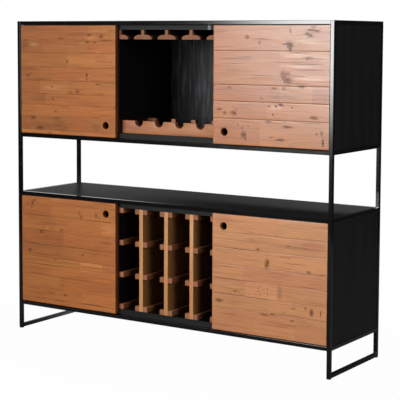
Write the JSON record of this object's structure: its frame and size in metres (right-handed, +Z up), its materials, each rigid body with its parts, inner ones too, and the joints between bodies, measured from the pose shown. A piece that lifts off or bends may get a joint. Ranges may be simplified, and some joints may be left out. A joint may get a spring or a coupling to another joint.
{
  "type": "bar cabinet",
  "caption": "Free-standing bar cabinet: square-tube steel frame, upper and lower box with plank doors, stemware rails, bottle rests, bottle rack and open counter bay.",
  "frame": {"origin": "on the floor under the middle of the cabinet", "axes": "+X to the right seen from the front, -Y out of the doors, +Z up"},
  "size_m": [1.6, 0.436, 1.4],
  "materials": {
    "steel": "satin black powder coat",
    "black_board": "black stain and satin lacquer",
    "door_wood": "reclaimed pine planks, satin lacquer",
    "rack_wood": "planed pine, satin lacquer",
    "zinc": "zinc plated",
    "plastic": "black"
  },
  "bodies": {
    "cabinet": {"bottle_body_rest": "rack_wood", "bottle_neck_rest": "rack_wood", "counter_board": "black_board", "front_rail_counter": "steel", "front_rail_lower_box": "steel", "front_rail_top": "steel", "front_rail_upper_box": "steel", "glass_rail_1": "rack_wood", "glass_rail_2": "rack_wood", "glass_rail_3": "rack_wood", "glass_rail_half_left": "rack_wood", "glass_rail_half_right": "rack_wood", "glide_front_left": "plastic", "glide_front_right": "plastic", "glide_rear_left": "plastic", "glide_rear_right": "plastic", "header_clip": "zinc", "lower_back_panel": "black_board", "lower_ceiling_board": "black_board", "lower_floor_board": "black_board", "lower_partition_left": "black_board", "lower_partition_right": "black_board", "lower_shelf_left": "black_board", "lower_shelf_right": "black_board", "lower_side_panel_left": "black_board", "lower_side_panel_right": "black_board", "rack_board_1": "rack_wood", "rack_board_2": "rack_wood", "rack_board_3": "rack_wood", "rear_rail_counter": "steel", "rear_rail_lower_box": "steel", "rear_rail_top": "steel", "rear_rail_upper_box": "steel", "side_frame_left": "steel", "side_frame_right": "steel", "top_deck_board": "black_board", "upper_back_panel": "black_board", "upper_ceiling_board": "black_board", "upper_floor_board": "black_board", "upper_partition_left": "black_board", "upper_partition_right": "black_board", "upper_side_panel_left": "black_board", "upper_side_panel_right": "black_board", "wall_cleat_left_1": "rack_wood", "wall_cleat_left_2": "rack_wood", "wall_cleat_left_3": "rack_wood", "wall_cleat_left_4": "rack_wood", "wall_cleat_right_1": "rack_wood", "wall_cleat_right_2": "rack_wood", "wall_cleat_right_3": "rack_wood", "wall_cleat_right_4": "rack_wood"},
    "door_upper_left": {"door_upper_left": "door_wood", "ball_catch_upper_left": "zinc"},
    "door_upper_right": {"door_upper_right": "door_wood", "ball_catch_upper_right": "zinc"},
    "door_lower_left": {"door_lower_left": "door_wood", "ball_catch_lower_left": "zinc"},
    "door_lower_right": {"door_lower_right": "door_wood", "ball_catch_lower_right": "zinc"}
  },
  "joints": [
    {"name": "hinge_upper_left", "type": "hinge", "parent": "cabinet", "child": "door_upper_left", "pos_m": [-0.775, -0.2095, 0.899], "axis": [0, 0, -1], "range_deg": [0, 105]},
    {"name": "hinge_upper_right", "type": "hinge", "parent": "cabinet", "child": "door_upper_right", "pos_m": [0.775, -0.2095, 0.899], "axis": [0, 0, 1], "range_deg": [0, 105]},
    {"name": "hinge_lower_left", "type": "hinge", "parent": "cabinet", "child": "door_lower_left", "pos_m": [-0.775, -0.2095, 0.131], "axis": [0, 0, -1], "range_deg": [0, 105]},
    {"name": "hinge_lower_right", "type": "hinge", "parent": "cabinet", "child": "door_lower_right", "pos_m": [0.775, -0.2095, 0.131], "axis": [0, 0, 1], "range_deg": [0, 105]}
  ]
}
